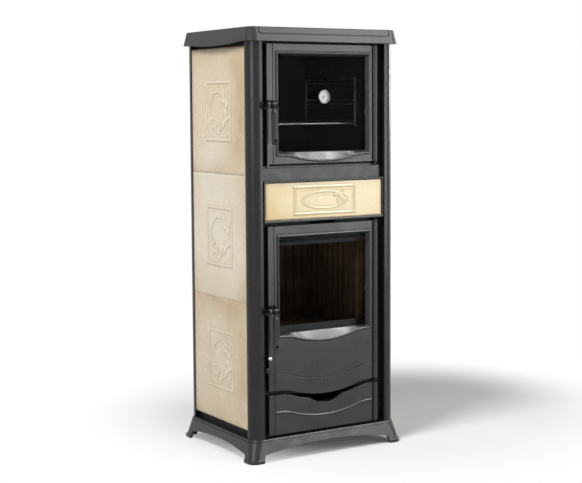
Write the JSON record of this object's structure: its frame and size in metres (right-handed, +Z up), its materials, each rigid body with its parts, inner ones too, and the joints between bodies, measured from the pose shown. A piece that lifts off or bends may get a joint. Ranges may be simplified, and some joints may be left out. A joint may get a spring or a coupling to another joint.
{
  "type": "wood-burning stove with oven",
  "caption": "Tall wood-burning stove with a tiled body: glazed oven door with a dial thermometer above, glazed fire door below, storage drawer, air controls and a rear flue collar.",
  "frame": {"origin": "on the floor under the middle of the stove", "axes": "+Z up, the front with the doors faces -Y, +X to the viewer's right"},
  "size_m": [0.578, 0.488, 1.354],
  "materials": {
    "anthracite_enamel": "satin anthracite enamel",
    "grey_cast_iron": "fine-grained anthracite paint on cast iron",
    "black_steel": "matt black stove paint",
    "oven_enamel": "grey oven enamel",
    "bright_wire": "bright steel",
    "fire_iron": "raw, heat-stained",
    "handle_metal": "satin grey",
    "cream_glaze": "mottled cream glaze",
    "stove_glass": "clear heat-proof glass",
    "rope_seal": "braided glass rope",
    "chrome": "polished",
    "black_knob": "gloss black",
    "dial_plate": "white printed dial"
  },
  "bodies": {
    "stove_body": {"base_casting": "anthracite_enamel", "top_plate": "anthracite_enamel", "post_front_left": "anthracite_enamel", "post_front_right": "anthracite_enamel", "post_rear_left": "anthracite_enamel", "post_rear_right": "anthracite_enamel", "band_panel": "anthracite_enamel", "front_tile_frame": "anthracite_enamel", "front_frame": "black_steel", "side_panel_left": "black_steel", "side_panel_right": "black_steel", "rear_panel": "black_steel", "oven_jacket": "black_steel", "firebox_shell": "black_steel", "flue_collar": "black_steel", "drawer_runners": "black_steel", "ash_pan": "black_steel", "latch_keepers": "black_steel", "hinge_pins": "black_steel", "oven_box": "oven_enamel", "oven_racks": "bright_wire", "oven_shelf": "bright_wire", "hearth_plate": "fire_iron", "fire_grate": "fire_iron", "liner_back": "fire_iron", "liner_left": "fire_iron", "liner_right": "fire_iron", "baffle_plate": "fire_iron", "log_guard": "fire_iron", "air_deflector": "fire_iron", "side_tile_left_lower": "cream_glaze", "side_tile_left_middle": "cream_glaze", "side_tile_left_upper": "cream_glaze", "side_tile_right_lower": "cream_glaze", "side_tile_right_middle": "cream_glaze", "side_tile_right_upper": "cream_glaze", "front_tile": "cream_glaze"},
    "oven_door": {"oven_door_casting": "grey_cast_iron", "oven_door_glass": "stove_glass", "oven_glass_retainer": "bright_wire", "oven_door_gasket": "rope_seal", "oven_handle_bracket": "black_steel", "thermometer_case": "chrome", "thermometer_dial": "dial_plate", "thermometer_lens": "stove_glass"},
    "oven_handle_lever": {"oven_handle": "handle_metal"},
    "dial_needle": {"thermometer_needle": "black_knob"},
    "fire_door": {"fire_door_casting": "grey_cast_iron", "fire_door_glass": "stove_glass", "fire_glass_retainer": "bright_wire", "fire_door_gasket": "rope_seal", "fire_handle_bracket": "black_steel"},
    "fire_handle_lever": {"fire_handle": "handle_metal"},
    "storage_drawer": {"drawer_front": "grey_cast_iron", "drawer_box": "black_steel"},
    "primary_air_control": {"primary_air_rod": "bright_wire", "primary_air_knob": "chrome"},
    "secondary_air_control": {"secondary_air_rod": "bright_wire", "secondary_air_knob": "black_knob"}
  },
  "joints": [
    {"name": "oven_door_hinge", "type": "hinge", "parent": "stove_body", "child": "oven_door", "pos_m": [0.1985, -0.201, 1.11775], "axis": [0, 0, 1], "range_deg": [0, 110]},
    {"name": "oven_handle_pivot", "type": "hinge", "parent": "oven_door", "child": "oven_handle_lever", "pos_m": [-0.1985, -0.235, 1.11701], "axis": [-1, 0, 0], "range_deg": [0, 40]},
    {"name": "dial_needle_pivot", "type": "hinge", "parent": "oven_door", "child": "dial_needle", "pos_m": [0, -0.2075, 1.14], "axis": [0, 1, 0], "range_deg": [0, 270]},
    {"name": "fire_door_hinge", "type": "hinge", "parent": "stove_body", "child": "fire_door", "pos_m": [0.1985, -0.201, 0.481], "axis": [0, 0, 1], "range_deg": [0, 110]},
    {"name": "fire_handle_pivot", "type": "hinge", "parent": "fire_door", "child": "fire_handle_lever", "pos_m": [-0.1985, -0.235, 0.47856], "axis": [-1, 0, 0], "range_deg": [0, 40]},
    {"name": "drawer_slide", "type": "slide", "parent": "stove_body", "child": "storage_drawer", "axis": [0, -1, 0], "range_m": [0, 0.25]},
    {"name": "primary_air_slide", "type": "slide", "parent": "stove_body", "child": "primary_air_control", "axis": [0, -1, 0], "range_m": [-0.015, 0.02]},
    {"name": "secondary_air_slide", "type": "slide", "parent": "stove_body", "child": "secondary_air_control", "axis": [0, -1, 0], "range_m": [0, 0.03]}
  ]
}
